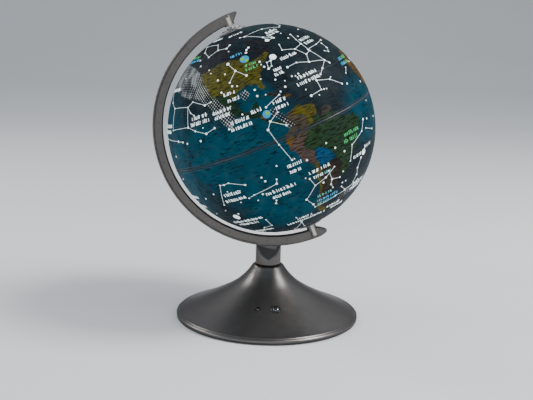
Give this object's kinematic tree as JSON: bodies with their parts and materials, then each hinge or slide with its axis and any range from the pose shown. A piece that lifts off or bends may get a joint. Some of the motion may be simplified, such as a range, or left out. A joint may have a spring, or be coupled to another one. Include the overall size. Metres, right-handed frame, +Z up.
{
  "type": "illuminated desktop globe",
  "caption": "Lit-from-inside desktop globe on a tilted C-shaped meridian arm with a round neck, an hour dial and a flared battery base.",
  "frame": {"origin": "on the table under the base's axis, at the centre of the centre foot's underside", "axes": "+Z up; the controls face -Y; the meridian arm lies in the XZ plane on the -X side, and the globe's axis leans 23.5 degrees towards -X at its top"},
  "size_m": [0.2468, 0.2302, 0.3424],
  "materials": {
    "gunmetal": "satin metallic gunmetal paint on moulded plastic",
    "dark_plastic": "fine-textured dark grey",
    "black_plastic": "glossy black",
    "white_plastic": "plain white",
    "map_plastic": "printed map on a satin translucent ball, lit from inside",
    "dial_plastic": "satin silver grey paint",
    "rubber": "matte black pad",
    "steel": "zinc plated",
    "brass": "plain",
    "board_green": "green solder mask",
    "clear_lens": "clear polished plastic",
    "frosted": "frosted white diffuser",
    "gloss_button": "polished dark chrome dome",
    "cell_wrap": "plain printed sleeve with a copper end",
    "red_wire": "soft insulation",
    "black_wire": "soft insulation"
  },
  "bodies": {
    "stand": {"base_shell": "gunmetal", "meridian_arm": "gunmetal", "arm_wire_cover": "gunmetal", "arm_cover_screw": "steel", "bottom_plate": "dark_plastic", "battery_door": "dark_plastic", "battery_door_screw": "steel", "foot_1": "rubber", "foot_2": "rubber", "foot_3": "rubber", "foot_4": "rubber", "foot_centre": "rubber", "base_screw_1": "steel", "base_screw_2": "steel", "base_screw_3": "steel", "base_screw_4": "steel", "battery_1": "cell_wrap", "battery_2": "cell_wrap", "battery_3": "cell_wrap", "contact_spring_1": "steel", "contact_spring_2": "steel", "contact_spring_3": "steel", "contact_plate_left": "steel", "contact_plate_right": "steel", "control_board": "board_green", "board_screw_1": "steel", "board_screw_2": "steel", "button_bezel": "black_plastic", "tact_switch": "black_plastic", "sensor_lens": "clear_lens", "light_sensor": "brass", "mode_switch_body": "steel", "neck_clamp_plate": "steel", "neck_screw_1": "steel", "neck_screw_2": "steel", "top_pivot_pin": "steel", "top_collar": "dial_plastic", "thrust_washer": "brass", "lower_pivot_tube": "steel", "lamp_post": "white_plastic", "led_board": "board_green", "led": "clear_lens", "lamp_diffuser": "frosted", "lamp_wire_red": "red_wire", "lamp_wire_black": "black_wire", "battery_wire_red": "red_wire", "battery_wire_black": "black_wire"},
    "ball": {"north_hemisphere": "map_plastic", "south_hemisphere": "map_plastic", "equator_ring": "white_plastic", "north_bushing": "white_plastic", "south_bushing": "dial_plastic"},
    "dial": {"hour_dial": "dial_plastic"},
    "button": {"power_button": "gloss_button", "switch_plunger": "black_plastic"},
    "mode_knob": {"mode_switch_knob": "black_plastic"}
  },
  "joints": [
    {"name": "globe_spin", "type": "hinge", "parent": "stand", "child": "ball", "pos_m": [0, 0, 0.2155], "axis": [-0.3987, 0, 0.9171], "continuous": true},
    {"name": "hour_dial_turn", "type": "hinge", "parent": "stand", "child": "dial", "pos_m": [0, 0, 0.2155], "axis": [-0.3987, 0, 0.9171], "continuous": true},
    {"name": "power_press", "type": "slide", "parent": "stand", "child": "button", "axis": [0, 0.4633, -0.8862], "range_m": [0, 0.001], "stiffness_N_per_m": 400, "springref_m": -0.0005},
    {"name": "mode_slide", "type": "slide", "parent": "stand", "child": "mode_knob", "axis": [1, 0, 0], "range_m": [-0.0035, 0.0035]}
  ]
}
